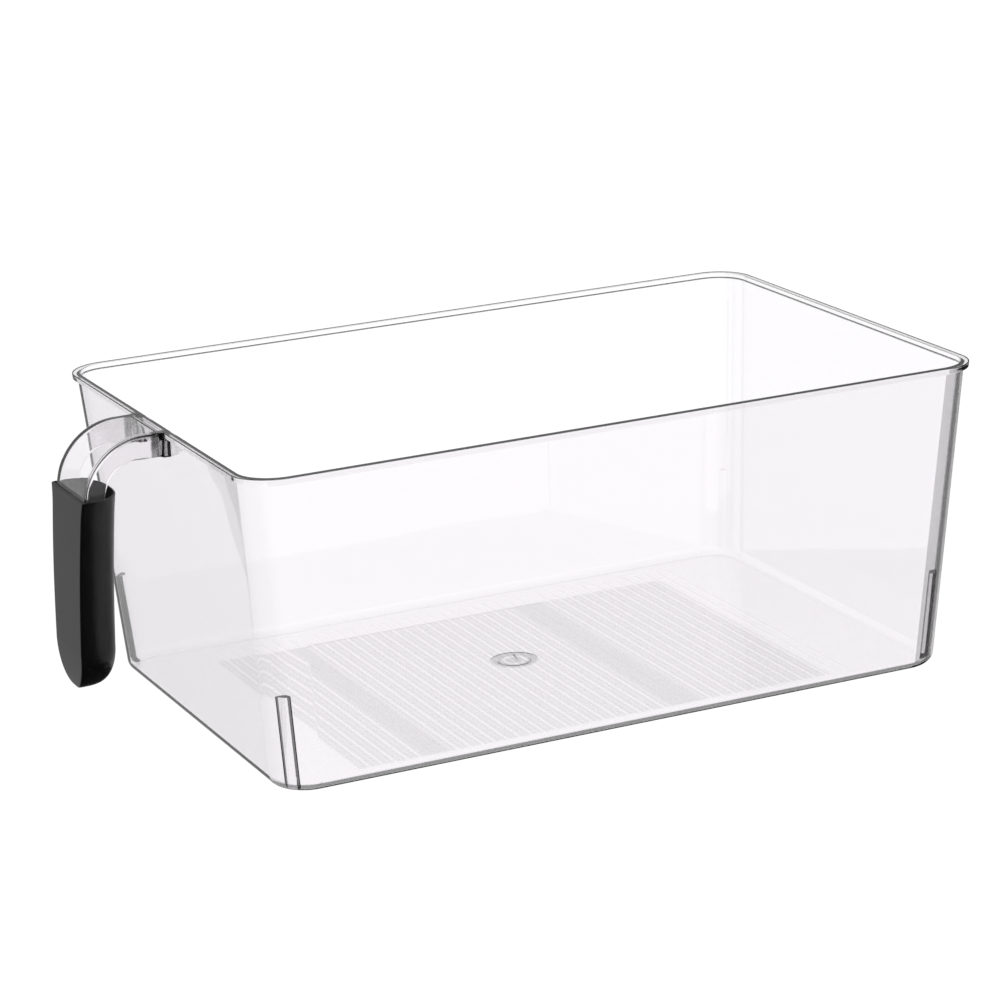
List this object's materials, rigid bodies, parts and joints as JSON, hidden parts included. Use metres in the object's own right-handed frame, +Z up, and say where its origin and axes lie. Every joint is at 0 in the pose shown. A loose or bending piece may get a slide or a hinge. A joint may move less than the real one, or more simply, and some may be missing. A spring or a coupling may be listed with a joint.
{
  "type": "fridge bin",
  "caption": "Clear open-topped tub with drafted walls and a rim bead, and an arched end handle that runs down into a soft black grip sleeve.",
  "frame": {"origin": "centre of the tub's underside, the face that it stands on", "axes": "+Z up, X along the tub's long side with the handle at -X, Y across"},
  "size_m": [0.3593, 0.2112, 0.1294],
  "materials": {
    "clear_plastic": "polished, water clear",
    "soft_black": "smooth satin"
  },
  "bodies": {
    "root": {"tub": "clear_plastic", "handle_arm": "clear_plastic", "grip_sleeve": "soft_black"}
  },
  "joints": []
}
